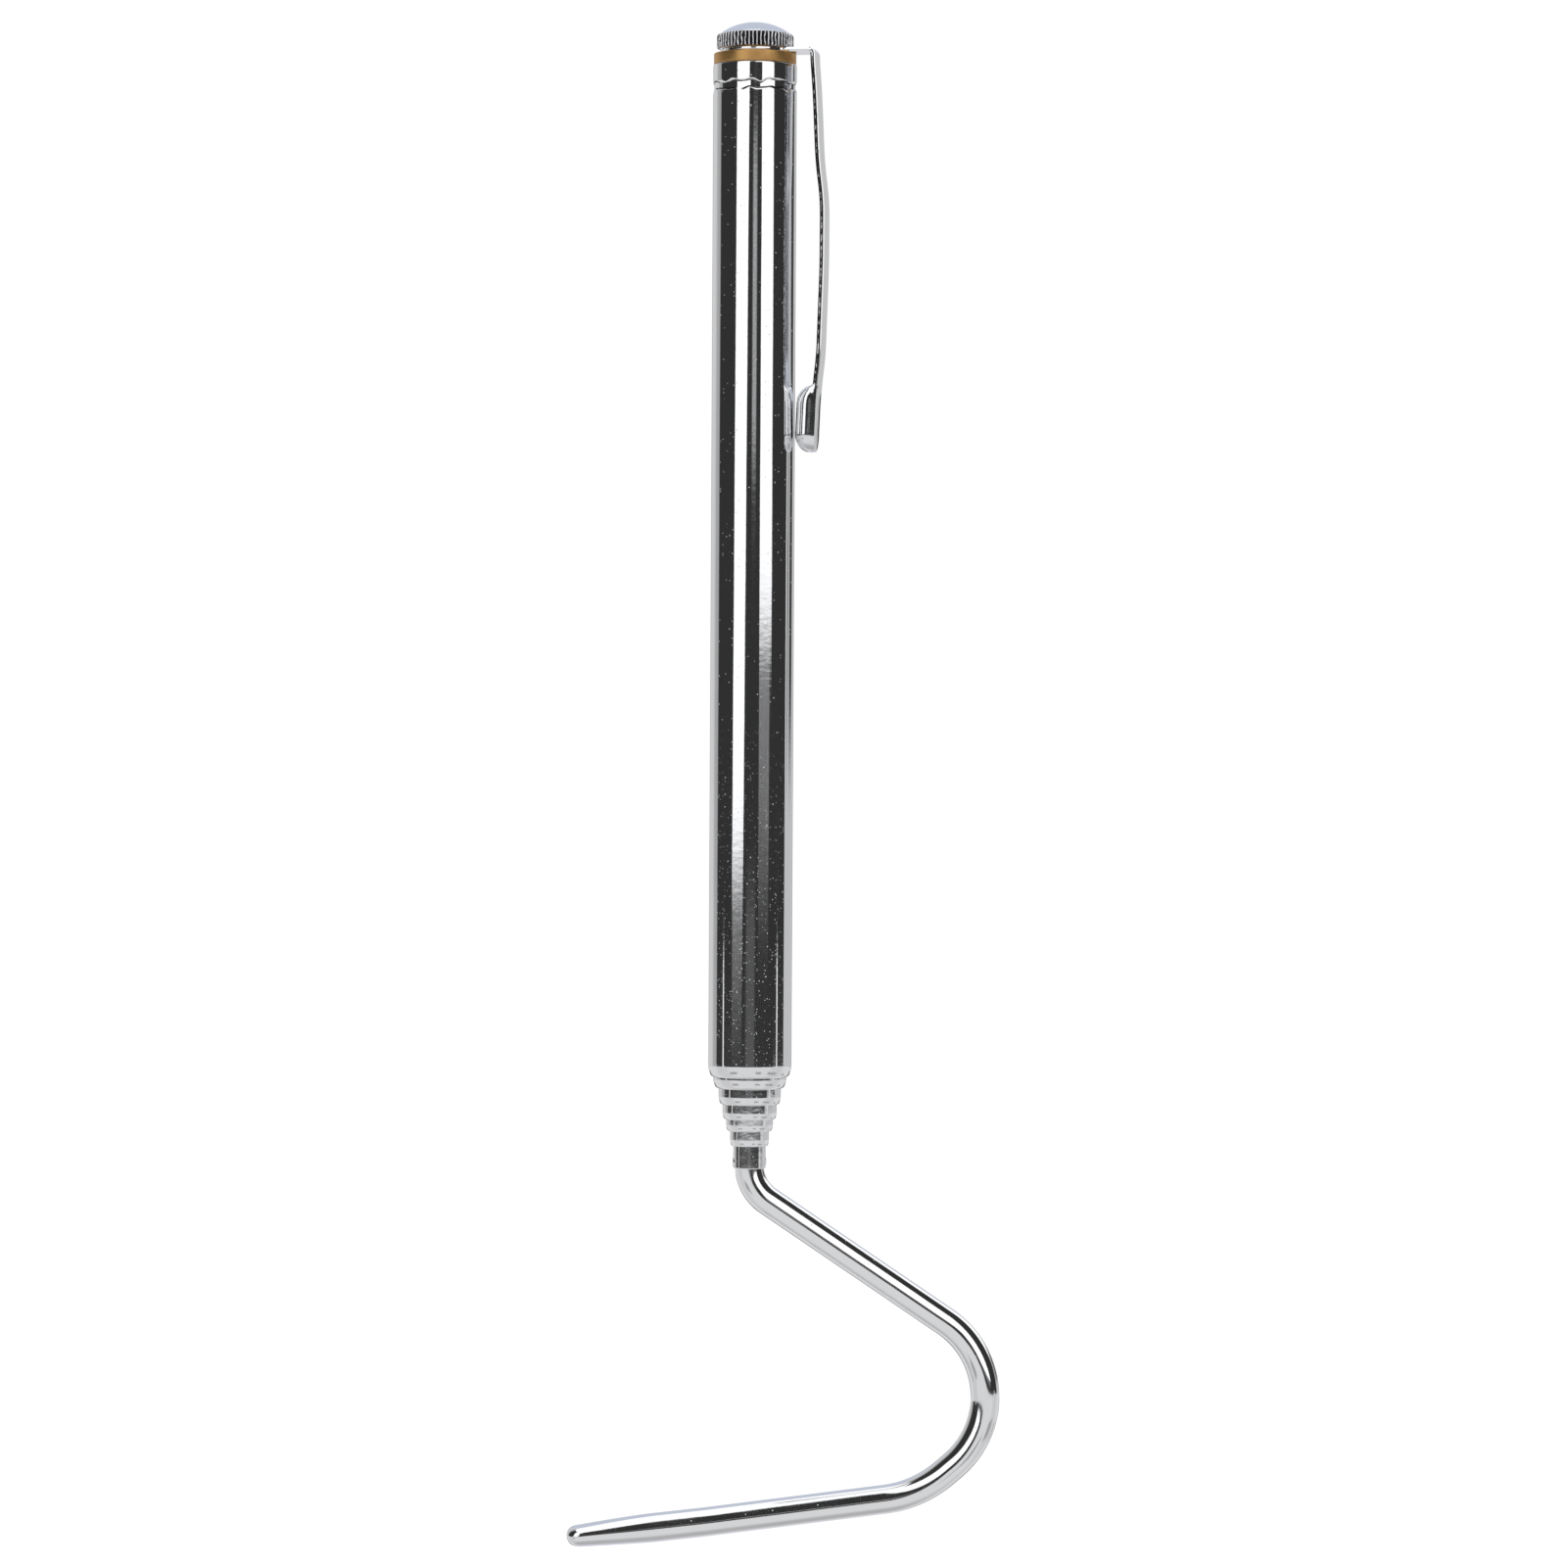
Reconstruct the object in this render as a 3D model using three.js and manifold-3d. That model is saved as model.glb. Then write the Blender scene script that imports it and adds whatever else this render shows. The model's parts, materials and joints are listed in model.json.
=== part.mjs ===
// A pocket-size telescoping hook: a plated tube handle with a pocket clip and a screwed end cap,
// six draw tubes nested in it, and a bent rod hook crimped in the last one.
// Millimetres. +Z runs up the handle's axis, the hook hangs below in the XZ plane, and the origin
// is on the axis halfway up the handle, where a hand holds it.

import * as THREE from "three";
import { mergeVertices } from "three/addons/utils/BufferGeometryUtils.js";
import Module from "manifold-3d";

// ---- Driving dimensions ----

const FACETS = 36; // sides of every turned piece, so that nested walls stay parallel
const HANDLE_LENGTH = 121.4;
const HANDLE_TOP = HANDLE_LENGTH / 2;
const HANDLE_MOUTH = -HANDLE_LENGTH / 2;
const SEAT_GAP = 0.02; // between two pieces that bear on each other
const RUNNING_GAP = 0.05; // radial, between a sliding piece and its bore
const TRAVEL = 80; // of each draw tube

// Handle and draw tubes, from the outside in. r: outer radius, wall: thickness, mouth: height of
// the open lower end, edge: outer radius there, lip: inner radius there, roll: height of the
// rolled-in stretch.
const TUBES = [
  { name: "handle_tube", r: 5.0, wall: 0.35, mouth: HANDLE_MOUTH, edge: 4.55, lip: 4.46, roll: 1.5 },
  { name: "stage_1_tube", r: 4.4, wall: 0.25, mouth: -62.1, edge: 3.93, lip: 3.82, roll: 1.2 },
  { name: "stage_2_tube", r: 3.75, wall: 0.23, mouth: -64.05, edge: 3.44, lip: 3.34, roll: 1.0 },
  { name: "stage_3_tube", r: 3.27, wall: 0.22, mouth: -65.85, edge: 3.0, lip: 2.9, roll: 0.85 },
  { name: "stage_4_tube", r: 2.83, wall: 0.21, mouth: -67.3, edge: 2.53, lip: 2.42, roll: 0.8 },
  { name: "stage_5_tube", r: 2.35, wall: 0.19, mouth: -69.1, edge: 2.14, lip: 2.03, roll: 0.8 },
  { name: "stage_6_tube", r: 1.96, wall: 0.16, mouth: -71.8, edge: 1.9, lip: 1.8, roll: 0.1 },
];

// Crimp that locks the end plug in the handle
const CRIMP_HEIGHT = 58.0;
const CRIMP_DEPTH = 0.14;
const CRIMP_HALF = 0.28; // half of the groove's floor
const CRIMP_SLOPE = 0.3; // height of each sloping side

// End plug
const FLANGE_RADIUS = 4.94;
const FLANGE_THICKNESS = 1.3;
const PLUG_RADIUS = 4.6;
const PLUG_BORE = 1.62;
const PLUG_WEB_BOTTOM = 51;
const PLUG_SKIRT_BORE = 3.6;

// Knurled cap
const CAP_RADIUS = 4.6;
const CAP_TEETH = 60;
const TOOTH_DEPTH = 0.2;
const CAP_CHAMFER = 0.35;
const CAP_RIM_HEIGHT = 1.7; // from the underside to the knurl's top
const DOME_RADIUS = 4.36; // where the dome meets the rim
const DOME_RISE = 1.47;
const DOME_STEPS = 5;
const STUD_RADIUS = 1.5;
const STUD_LENGTH = 9.5; // below the cap
const STUD_IN_CAP = 1.5;
const STUD_CHAMFER = 0.3;

// Friction springs and stop bushes
const SPRING_LENGTH = 11;
const SPRING_SLIT = 40; // degrees left open
const BUSH_LENGTH = 3.2;
const BUSH_LIP = 0.4; // thickness of the part that covers the tube's end
const BUSH_LIP_WIDTH = 0.2; // how far that lip reaches inside the tube's bore

// Pocket clip. It leaves the axis at this angle from +X, towards -Y.
const CLIP_ANGLE = THREE.MathUtils.degToRad(-10);
const CLIP_SHEET = 0.55;
const CLIP_WIDTH = 3.9;
const EYELET_RADIUS = 3.95;
const EYELET_BORE = 1.7;
const CLIP_SPLIT = 6.6; // distance from the axis at which the arm starts to bend
const CLIP_SPLIT_GAP = 0.06;
// Inner face of the arm: distance from the axis and height, from the corner down to the tip
const ARM_INNER = [
  [7.04, 61.4],
  [7.35, 56.8],
  [7.69, 49.0],
  [8.29, 44.4],
  [8.27, 36.5],
  [7.86, 24.5],
  [7.62, 20.4],
];
// Pressed tip: half an ellipsoid, flat on its outer side
const TIP_CENTRE = [8.02, 18.25]; // distance of the flat from the axis, height
const TIP_HALF = [2.77, 3.95, 1.85]; // towards the axis, along it, across the clip

// Hook rod: radius, then the bends and straights of its centre line from the ferrule to the tip.
const ROD_RADIUS = 1.75;
const ROD_SIDES = 16;
const ROD_SHANK_TOP = -60;
const ROD_BEND_START = -71.5;
const HOOK_PATH = [
  { bend: 56, radius: 5.2 },
  { straight: 25.9 },
  { bend: -105.3, radius: 11 },
  { straight: 1.4 },
  { bend: -33.2, radius: 13.8 },
  { straight: 22 },
  { bend: -1.8, radius: 320 },
];
const ROD_TIP_LENGTH = 6.6; // tapered, blunt end past the last straight
const ROD_TIP_RADIUS = 1.5;
const ROD_TIP_ROUND = 1.3; // length of the rounded end
const DEGREES_PER_STEP = 8;
const STRAIGHT_STEP = 9;

// ---- Materials ----

const COLOURS = {
  chrome: { color: 0xd9dcdf, roughness: 0.08, metalness: 1 },
  brass: { color: 0xb98a4a, roughness: 0.38, metalness: 1 },
  bronze: { color: 0xa9733c, roughness: 0.45, metalness: 1 },
};

function mesh(name, geometry, colour) {
  const result = new THREE.Mesh(geometry, new THREE.MeshStandardMaterial(COLOURS[colour]));
  result.name = name;
  return result;
}

// ---- Shape helpers ----

const wasm = await Module();
wasm.setup();

function toSolid(geometry) {
  const bare = geometry.clone();
  bare.deleteAttribute("normal");
  bare.deleteAttribute("uv");
  const merged = mergeVertices(bare, 1e-4);
  return new wasm.Manifold(
    new wasm.Mesh({
      numProp: 3,
      vertProperties: new Float32Array(merged.attributes.position.array),
      triVerts: new Uint32Array(merged.index.array),
    }),
  );
}

function toGeometry(solid) {
  const data = solid.getMesh();
  const geometry = new THREE.BufferGeometry();
  geometry.setAttribute("position", new THREE.BufferAttribute(data.vertProperties, 3));
  geometry.setIndex(new THREE.BufferAttribute(data.triVerts, 1));
  geometry.computeVertexNormals();
  return geometry;
}

// Turns an outline of [radius, height] points about Z. The outline runs up the outside.
function turned(outline, sides = FACETS) {
  const points = outline.map(([radius, height]) => new THREE.Vector2(radius, height));
  const geometry = new THREE.LatheGeometry(points, sides);
  return geometry.rotateX(Math.PI / 2);
}

// The same for a ring, whose outline closes on itself.
function turnedRing(outline) {
  return turned([...outline, outline[0]]);
}

// Quarter of an ellipse from [r0, z0], flat there, to [r1, z1], upright there.
function quarterArc(r0, z0, r1, z1, steps) {
  return Array.from({ length: steps + 1 }, (_, i) => {
    const angle = (i / steps) * (Math.PI / 2);
    return [r0 + (r1 - r0) * Math.sin(angle), z0 + (z1 - z0) * (1 - Math.cos(angle))];
  });
}

// Extrudes a flat shape along Z between two heights. An arc gets two sides for each curve segment.
function extruded(shape, bottom, top, arcSides = FACETS) {
  const geometry = new THREE.ExtrudeGeometry(shape, {
    depth: top - bottom,
    bevelEnabled: false,
    curveSegments: arcSides / 2,
  });
  return geometry.translate(0, 0, bottom);
}

// ---- Handle and draw tubes ----

function boreOf(tube) {
  return tube.r - tube.wall;
}

function tubeOutline(tube, top, groove) {
  const bore = boreOf(tube);
  const rollTop = tube.mouth + tube.roll;
  const outside = quarterArc(tube.edge, tube.mouth, tube.r, rollTop, 4);
  const outsideGroove = groove.map(([depth, height]) => [tube.r - depth, height]);
  const insideGroove = groove.map(([depth, height]) => [bore - depth, height]).reverse();
  return [
    ...outside,
    ...outsideGroove,
    [tube.r, top],
    [bore, top],
    ...insideGroove,
    [bore, rollTop + 0.1],
    [tube.lip, tube.mouth + 0.35 * tube.roll],
    [tube.lip, tube.mouth],
  ];
}

function crimpGroove(depth) {
  return [
    [0, CRIMP_HEIGHT - CRIMP_HALF - CRIMP_SLOPE],
    [depth, CRIMP_HEIGHT - CRIMP_HALF],
    [depth, CRIMP_HEIGHT + CRIMP_HALF],
    [0, CRIMP_HEIGHT + CRIMP_HALF + CRIMP_SLOPE],
  ];
}

function makeHandleTube() {
  const outline = tubeOutline(TUBES[0], HANDLE_TOP, crimpGroove(CRIMP_DEPTH));
  return mesh("handle_tube", turnedRing(outline), "chrome");
}

// Heights of the pieces at the rear of draw tube number k, in the closed tool. From below: the
// friction spring, whose lower end meets the outer tube's rolled mouth when the stage is fully
// drawn, then the stop bush that covers the tube's rear end.
function rearHeights(k) {
  const outer = TUBES[k - 1];
  const springBottom = outer.mouth + outer.roll + 0.3 + TRAVEL;
  const springTop = springBottom + SPRING_LENGTH;
  const bushBottom = springTop + RUNNING_GAP;
  const bushTop = bushBottom + BUSH_LENGTH;
  const tubeTop = bushTop - BUSH_LIP - SEAT_GAP;
  return { springBottom, springTop, bushBottom, bushTop, tubeTop };
}

function makeStageTube(k) {
  const outline = tubeOutline(TUBES[k], rearHeights(k).tubeTop, []);
  return mesh(TUBES[k].name, turnedRing(outline), "chrome");
}

function makeStopBush(k) {
  const { bushBottom, bushTop, tubeTop } = rearHeights(k);
  const outerRadius = boreOf(TUBES[k - 1]) - RUNNING_GAP;
  const sleeveBore = TUBES[k].r + SEAT_GAP;
  const lipBore = boreOf(TUBES[k]) - BUSH_LIP_WIDTH;
  const outline = [
    [sleeveBore, bushBottom],
    [outerRadius, bushBottom],
    [outerRadius, bushTop],
    [lipBore, bushTop],
    [lipBore, tubeTop + SEAT_GAP],
    [sleeveBore, tubeTop + SEAT_GAP],
  ];
  return mesh(`stage_${k}_stop_bush`, turnedRing(outline), "brass");
}

function makeFrictionSpring(k) {
  const { springBottom, springTop } = rearHeights(k);
  const outerRadius = boreOf(TUBES[k - 1]) - RUNNING_GAP;
  const innerRadius = TUBES[k].r + RUNNING_GAP;
  const halfSlit = THREE.MathUtils.degToRad(SPRING_SLIT / 2);
  const shape = new THREE.Shape();
  shape.absarc(0, 0, outerRadius, halfSlit, 2 * Math.PI - halfSlit, false);
  shape.absarc(0, 0, innerRadius, 2 * Math.PI - halfSlit, halfSlit, true);
  const facets = (FACETS * (360 - SPRING_SLIT)) / 360;
  return mesh(`friction_spring_${k}`, extruded(shape, springBottom, springTop, facets), "bronze");
}

// ---- End plug, clip and cap ----

const FLANGE_BOTTOM = HANDLE_TOP + SEAT_GAP;
const FLANGE_TOP = FLANGE_BOTTOM + FLANGE_THICKNESS;
const EYELET_BOTTOM = FLANGE_TOP + SEAT_GAP;
const EYELET_TOP = EYELET_BOTTOM + CLIP_SHEET;
const CAP_BOTTOM = EYELET_TOP + SEAT_GAP;

function makeEndPlug() {
  const skirtBottom = rearHeights(1).bushTop + 0.1;
  const grooveRadius = PLUG_RADIUS - CRIMP_DEPTH - 0.1;
  const grooveBottom = CRIMP_HEIGHT - CRIMP_HALF - CRIMP_SLOPE;
  const grooveTop = CRIMP_HEIGHT + CRIMP_HALF + CRIMP_SLOPE;
  const flangeEdge = 0.12;
  const outline = [
    [PLUG_SKIRT_BORE, skirtBottom],
    [PLUG_RADIUS, skirtBottom],
    [PLUG_RADIUS, grooveBottom - 0.1],
    [grooveRadius, grooveBottom + 0.1],
    [grooveRadius, grooveTop - 0.1],
    [PLUG_RADIUS, grooveTop + 0.1],
    [PLUG_RADIUS, FLANGE_BOTTOM],
    [FLANGE_RADIUS - flangeEdge, FLANGE_BOTTOM],
    [FLANGE_RADIUS, FLANGE_BOTTOM + flangeEdge],
    [FLANGE_RADIUS, FLANGE_TOP - flangeEdge],
    [FLANGE_RADIUS - flangeEdge, FLANGE_TOP],
    [PLUG_BORE, FLANGE_TOP],
    [PLUG_BORE, PLUG_WEB_BOTTOM],
    [PLUG_SKIRT_BORE, PLUG_WEB_BOTTOM],
  ];
  return mesh("end_plug", turnedRing(outline), "brass");
}

function makeClipEyelet() {
  const half = CLIP_WIDTH / 2;
  const tabStart = Math.acos(half / EYELET_RADIUS);
  const shape = new THREE.Shape();
  shape.absarc(0, 0, EYELET_RADIUS, Math.PI / 2 - tabStart, Math.PI * 1.5 + tabStart, false);
  shape.lineTo(CLIP_SPLIT - CLIP_SPLIT_GAP, -half);
  shape.lineTo(CLIP_SPLIT - CLIP_SPLIT_GAP, half);
  const hole = new THREE.Path();
  hole.absarc(0, 0, EYELET_BORE, 0, 2 * Math.PI, true);
  shape.holes.push(hole);
  const geometry = extruded(shape, EYELET_BOTTOM, EYELET_TOP);
  return mesh("clip_eyelet", geometry.rotateZ(CLIP_ANGLE), "chrome");
}

// A point of the sheet's middle line is moved half the sheet's thickness to each side, square to
// the line, to give the strip's outline.
function stripOutline(innerFace, thickness) {
  const points = innerFace.map(([x, z]) => new THREE.Vector2(x, z));
  const outer = points.map((point, i) => {
    const before = points[Math.max(i - 1, 0)];
    const after = points[Math.min(i + 1, points.length - 1)];
    const along = after.clone().sub(before).normalize();
    return new THREE.Vector2(point.x - along.y * thickness, point.y + along.x * thickness);
  });
  return [points, outer];
}

function makeClipArm() {
  const corner = 0.45; // inner radius of the bend between tab and arm
  const centre = [ARM_INNER[0][0] - corner, EYELET_BOTTOM - corner];
  const bend = [0, 30, 60].map((degrees) => {
    const angle = THREE.MathUtils.degToRad(90 - degrees);
    return [centre[0] + corner * Math.cos(angle), centre[1] + corner * Math.sin(angle)];
  });
  const [inner, outer] = stripOutline([...bend, ...ARM_INNER], CLIP_SHEET);
  outer[0].set(CLIP_SPLIT, EYELET_TOP);
  inner[0].set(CLIP_SPLIT, EYELET_BOTTOM);
  const shape = new THREE.Shape([...inner, ...outer.reverse()]);
  const strip = extruded(shape, -CLIP_WIDTH / 2, CLIP_WIDTH / 2).rotateX(Math.PI / 2);
  const ball = new THREE.SphereGeometry(1, 16, 10)
    .rotateX(Math.PI / 2)
    .scale(TIP_HALF[0], TIP_HALF[2], TIP_HALF[1])
    .translate(TIP_CENTRE[0], 0, TIP_CENTRE[1]);
  const side = 3 * TIP_HALF[1];
  const outerSide = new THREE.BoxGeometry(side, side, side)
    .translate(TIP_CENTRE[0] + side / 2, 0, TIP_CENTRE[1]);
  const tip = toSolid(ball).subtract(toSolid(outerSide));
  const arm = toGeometry(toSolid(strip).add(tip));
  return mesh("clip_arm", arm.rotateZ(CLIP_ANGLE), "chrome");
}

function makeKnurledCap() {
  const rimTop = CAP_BOTTOM + CAP_RIM_HEIGHT;
  const sphere = (DOME_RADIUS ** 2 + DOME_RISE ** 2) / (2 * DOME_RISE);
  const sweep = Math.asin(DOME_RADIUS / sphere);
  const dome = Array.from({ length: DOME_STEPS + 1 }, (_, i) => {
    const angle = sweep * (1 - i / DOME_STEPS);
    const height = rimTop + DOME_RISE - sphere * (1 - Math.cos(angle));
    return [i === DOME_STEPS ? 0 : sphere * Math.sin(angle), height];
  });
  const head = turned([
    [0, CAP_BOTTOM],
    [CAP_RADIUS - CAP_CHAMFER, CAP_BOTTOM],
    [CAP_RADIUS + 0.1, CAP_BOTTOM + CAP_CHAMFER],
    [CAP_RADIUS + 0.1, rimTop - 0.15],
    ...dome,
  ]);
  const knurl = new THREE.Shape();
  for (let i = 0; i < 2 * CAP_TEETH; i += 1) {
    const radius = i % 2 ? CAP_RADIUS - TOOTH_DEPTH : CAP_RADIUS;
    const angle = (i * Math.PI) / CAP_TEETH;
    const point = [radius * Math.cos(angle), radius * Math.sin(angle)];
    if (i === 0) knurl.moveTo(...point);
    else knurl.lineTo(...point);
  }
  const prism = extruded(knurl, CAP_BOTTOM - 1, rimTop + DOME_RISE + 1);
  const holeRadius = STUD_RADIUS + 0.03;
  const hole = turned([
    [0, CAP_BOTTOM - 1],
    [holeRadius, CAP_BOTTOM - 1],
    [holeRadius, CAP_BOTTOM + STUD_IN_CAP + SEAT_GAP],
    [0, CAP_BOTTOM + STUD_IN_CAP + SEAT_GAP],
  ]);
  const cap = toSolid(head).intersect(toSolid(prism)).subtract(toSolid(hole));
  return mesh("knurled_cap", toGeometry(cap), "chrome");
}

function makeCapStud() {
  const bottom = CAP_BOTTOM - STUD_LENGTH;
  const top = CAP_BOTTOM + STUD_IN_CAP;
  const stud = turned([
    [0, bottom],
    [STUD_RADIUS - STUD_CHAMFER, bottom],
    [STUD_RADIUS, bottom + STUD_CHAMFER],
    [STUD_RADIUS, top],
    [0, top],
  ]);
  return mesh("cap_stud", stud, "chrome");
}

// ---- Hook ----

// Centre line of the rod in the XZ plane, as points, with the heading where it ends.
function hookLine() {
  const points = [new THREE.Vector3(0, 0, ROD_SHANK_TOP), new THREE.Vector3(0, 0, ROD_BEND_START)];
  let heading = -Math.PI / 2;
  for (const piece of HOOK_PATH) {
    const steps = piece.bend
      ? Math.ceil(Math.abs(piece.bend) / DEGREES_PER_STEP)
      : Math.ceil(piece.straight / STRAIGHT_STEP);
    const turn = THREE.MathUtils.degToRad(piece.bend ?? 0) / steps;
    const chord = piece.bend
      ? 2 * piece.radius * Math.sin(Math.abs(turn) / 2)
      : piece.straight / steps;
    for (let i = 0; i < steps; i += 1) {
      heading += turn / 2;
      const step = new THREE.Vector3(Math.cos(heading), 0, Math.sin(heading));
      points.push(points[points.length - 1].clone().addScaledVector(step, chord));
      heading += turn / 2;
    }
  }
  return { points, heading };
}

// A polyline as a curve whose parameter reaches every point at an equal step, so that a sweep
// with one step per stretch has one ring at each point.
class Polyline extends THREE.Curve {
  constructor(points) {
    super();
    this.points = points;
  }

  getPoint(t, target = new THREE.Vector3()) {
    const place = t * (this.points.length - 1);
    const i = Math.min(Math.floor(place), this.points.length - 2);
    return target.lerpVectors(this.points[i], this.points[i + 1], place - i);
  }

  getPointAt(u, target) {
    return this.getPoint(u, target);
  }

  getTangentAt(u, target = new THREE.Vector3()) {
    const i = Math.round(u * (this.points.length - 1));
    const before = this.points[Math.max(i - 1, 0)];
    const after = this.points[Math.min(i + 1, this.points.length - 1)];
    const into = this.points[i].clone().sub(before).normalize();
    const out = after.clone().sub(this.points[i]).normalize();
    return target.addVectors(into, out).normalize();
  }
}

function makeHookRod() {
  const { points, heading } = hookLine();
  const section = new THREE.Shape();
  section.absarc(0, 0, ROD_RADIUS, 0, 2 * Math.PI, false);
  const rod = new THREE.ExtrudeGeometry(section, {
    steps: points.length - 1,
    extrudePath: new Polyline(points),
    curveSegments: ROD_SIDES / 2,
  });
  const tipBase = ROD_RADIUS - 0.01;
  const noseStart = ROD_TIP_LENGTH - ROD_TIP_ROUND;
  const nose = quarterArc(0, ROD_TIP_LENGTH, ROD_TIP_RADIUS, noseStart, 4).reverse();
  const tip = turned([[0, -0.5], [tipBase, -0.5], [tipBase, 0], ...nose], ROD_SIDES);
  const end = points[points.length - 1];
  tip.rotateY(Math.PI / 2 - heading).translate(end.x, end.y, end.z);
  return mesh("hook_rod", toGeometry(toSolid(rod).add(toSolid(tip))), "chrome");
}

// ---- Assembly ----

const group = new THREE.Group();
group.add(makeHandleTube(), makeEndPlug(), makeClipEyelet(), makeClipArm());
group.add(makeCapStud(), makeKnurledCap());
for (let k = 1; k < TUBES.length; k += 1) {
  group.add(makeStageTube(k), makeStopBush(k), makeFrictionSpring(k));
}
group.add(makeHookRod());

export default group;
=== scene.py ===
"""Looks of a pocket-size telescoping hook, built round its CAD frame.

The turned pieces (tubes, plug, cap, bushes) are dense lathe meshes, the hook is a swept rod with a
drawn-down tip, the stud carries a real thread and the pocket clip is one lofted sheet that bends at
its corner. Metres, in the frame of the CAD part: +Z runs up the handle's axis, the hook lies in
the XZ plane.
"""

import json
import math
import random

import bmesh
import bpy
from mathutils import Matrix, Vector
from mathutils.kdtree import KDTree

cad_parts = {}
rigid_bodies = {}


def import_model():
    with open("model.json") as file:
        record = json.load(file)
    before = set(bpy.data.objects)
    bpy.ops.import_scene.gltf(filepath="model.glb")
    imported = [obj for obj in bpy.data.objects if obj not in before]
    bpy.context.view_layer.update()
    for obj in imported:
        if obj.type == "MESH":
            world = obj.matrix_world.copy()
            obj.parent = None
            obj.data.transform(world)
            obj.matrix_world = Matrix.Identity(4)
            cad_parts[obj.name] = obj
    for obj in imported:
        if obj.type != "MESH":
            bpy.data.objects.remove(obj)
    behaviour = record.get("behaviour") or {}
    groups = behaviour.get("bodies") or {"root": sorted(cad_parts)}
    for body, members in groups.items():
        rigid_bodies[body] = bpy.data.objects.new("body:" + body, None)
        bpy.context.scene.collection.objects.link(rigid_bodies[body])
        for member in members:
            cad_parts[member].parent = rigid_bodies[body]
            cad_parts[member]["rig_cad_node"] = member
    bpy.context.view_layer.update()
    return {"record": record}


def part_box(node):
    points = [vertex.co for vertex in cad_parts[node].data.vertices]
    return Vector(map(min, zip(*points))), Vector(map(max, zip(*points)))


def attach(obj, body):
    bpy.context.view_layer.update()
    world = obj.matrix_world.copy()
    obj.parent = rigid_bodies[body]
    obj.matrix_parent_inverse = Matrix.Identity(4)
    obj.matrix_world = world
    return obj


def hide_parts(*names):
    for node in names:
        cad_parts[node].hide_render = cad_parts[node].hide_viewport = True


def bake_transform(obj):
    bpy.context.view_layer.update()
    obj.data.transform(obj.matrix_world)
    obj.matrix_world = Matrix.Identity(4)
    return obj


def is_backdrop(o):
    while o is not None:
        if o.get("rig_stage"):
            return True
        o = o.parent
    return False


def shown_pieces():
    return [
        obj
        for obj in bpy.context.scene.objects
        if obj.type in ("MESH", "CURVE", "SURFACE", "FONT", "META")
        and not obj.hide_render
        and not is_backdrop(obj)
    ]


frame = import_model()

MM = 0.001
TAU = 2 * math.pi
STAGES = 6
STAGE_DRAW = 80 * MM


# ---- Sizes that the frame gives ----


def low(node):
    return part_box(node)[0]


def high(node):
    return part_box(node)[1]


HANDLE_TOP = high("handle_tube").z
CLIP_ANGLE = math.radians(-10)  # round the axis from +X, towards -Y
CLIP_OUT = Vector((math.cos(CLIP_ANGLE), math.sin(CLIP_ANGLE), 0))
CLIP_ACROSS = Vector((-math.sin(CLIP_ANGLE), math.cos(CLIP_ANGLE), 0))

# Wall, radii of the mouth's outer edge and of its lip, and height of the rolled-in stretch, in mm
TUBE_FORMS = {
    "handle_tube": (0.35, 4.55, 4.46, 1.5),
    "stage_1_tube": (0.25, 3.93, 3.82, 1.2),
    "stage_2_tube": (0.23, 3.44, 3.34, 1.0),
    "stage_3_tube": (0.22, 3.0, 2.9, 0.85),
    "stage_4_tube": (0.21, 2.53, 2.42, 0.8),
    "stage_5_tube": (0.19, 2.14, 2.03, 0.8),
    "stage_6_tube": (0.16, 1.9, 1.8, 0.1),
}


# ---- Mesh helpers ----


def build(name, points, faces, crease=35):
    """A smooth-shaded mesh object. Edges sharper than crease degrees stay sharp."""
    mesh = bpy.data.meshes.new(name)
    mesh.from_pydata([tuple(p) for p in points], [], faces)
    mesh.validate()
    obj = bpy.data.objects.new(name, mesh)
    bpy.context.scene.collection.objects.link(obj)
    mesh.shade_smooth()
    mesh.set_sharp_from_angle(angle=math.radians(crease))
    return obj


def ring_faces(first, second, sides):
    """Quads between two rings of vertices, which start at index first and second."""
    return [
        (first + i, first + (i + 1) % sides, second + (i + 1) % sides, second + i)
        for i in range(sides)
    ]


def revolve(name, outline, sides, shape=None, crease=35):
    """Turns (radius, height) points about Z. The outline runs up the outside, and either starts
    and ends on the axis or closes on itself. shape(index, angle, radius, height) may move each
    vertex and returns its new radius and height."""
    points, faces, starts = [], [], []
    for index, (radius, height) in enumerate(outline):
        starts.append((len(points), radius < 1e-9))
        if radius < 1e-9:
            points.append((0, 0, height))
            continue
        for i in range(sides):
            angle = TAU * i / sides
            r, z = shape(index, angle, radius, height) if shape else (radius, height)
            points.append((r * math.cos(angle), r * math.sin(angle), z))
    pairs = list(zip(starts, starts[1:]))
    if not starts[0][1]:
        pairs.append((starts[-1], starts[0]))
    for (a, a_pole), (b, b_pole) in pairs:
        if a_pole:
            faces += [(a, b + (i + 1) % sides, b + i) for i in range(sides)]
        elif b_pole:
            faces += [(a + i, a + (i + 1) % sides, b) for i in range(sides)]
        else:
            faces += ring_faces(a, b, sides)
    return build(name, points, faces, crease)


def quarter(r0, z0, r1, z1, steps):
    """Quarter of an ellipse from (r0, z0), flat there, to (r1, z1), upright there."""
    angles = [math.pi / 2 * i / steps for i in range(steps + 1)]
    return [(r0 + (r1 - r0) * math.sin(a), z0 + (z1 - z0) * (1 - math.cos(a))) for a in angles]


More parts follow.
